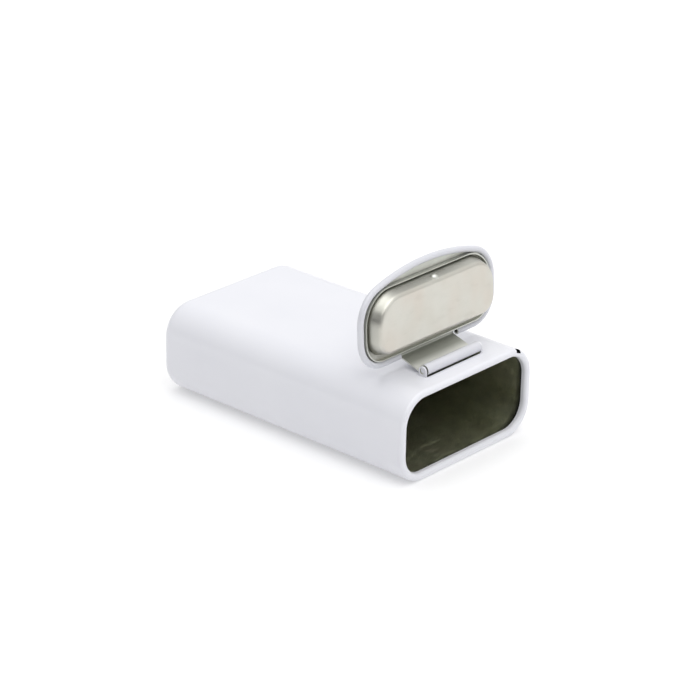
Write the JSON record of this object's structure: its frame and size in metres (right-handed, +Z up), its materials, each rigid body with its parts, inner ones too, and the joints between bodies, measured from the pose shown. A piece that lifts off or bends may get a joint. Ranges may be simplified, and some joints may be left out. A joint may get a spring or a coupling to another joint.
{
  "type": "hinged tin box",
  "caption": "Small flat tin with rounded corners, open at one end, with a flip-up lid on a wire hinge that closes the mouth with a drawn plug.",
  "frame": {"origin": "middle of the bounding box's bottom face, on the surface that the tin lies on", "axes": "+X along the tin towards its mouth, +Y across it, +Z up, away from the broad face that it lies on"},
  "size_m": [0.0566, 0.0348, 0.0345],
  "materials": {
    "white_enamel": "glossy white enamel on tinplate, bare tinplate on the inside",
    "bare_tinplate": "bare tinplate, satin, warm grey",
    "pin_steel": "drawn steel wire"
  },
  "bodies": {
    "tin_body": {"body_shell": "white_enamel", "base_plate": "bare_tinplate", "hinge_pin": "pin_steel"},
    "lid": {"lid_cover": "white_enamel", "lid_plug": "bare_tinplate"}
  },
  "joints": [
    {"name": "lid_hinge", "type": "hinge", "parent": "tin_body", "child": "lid", "pos_m": [0.0241, 0, 0.01745], "axis": [0, 1, 0], "range_deg": [0, 183.5]}
  ]
}
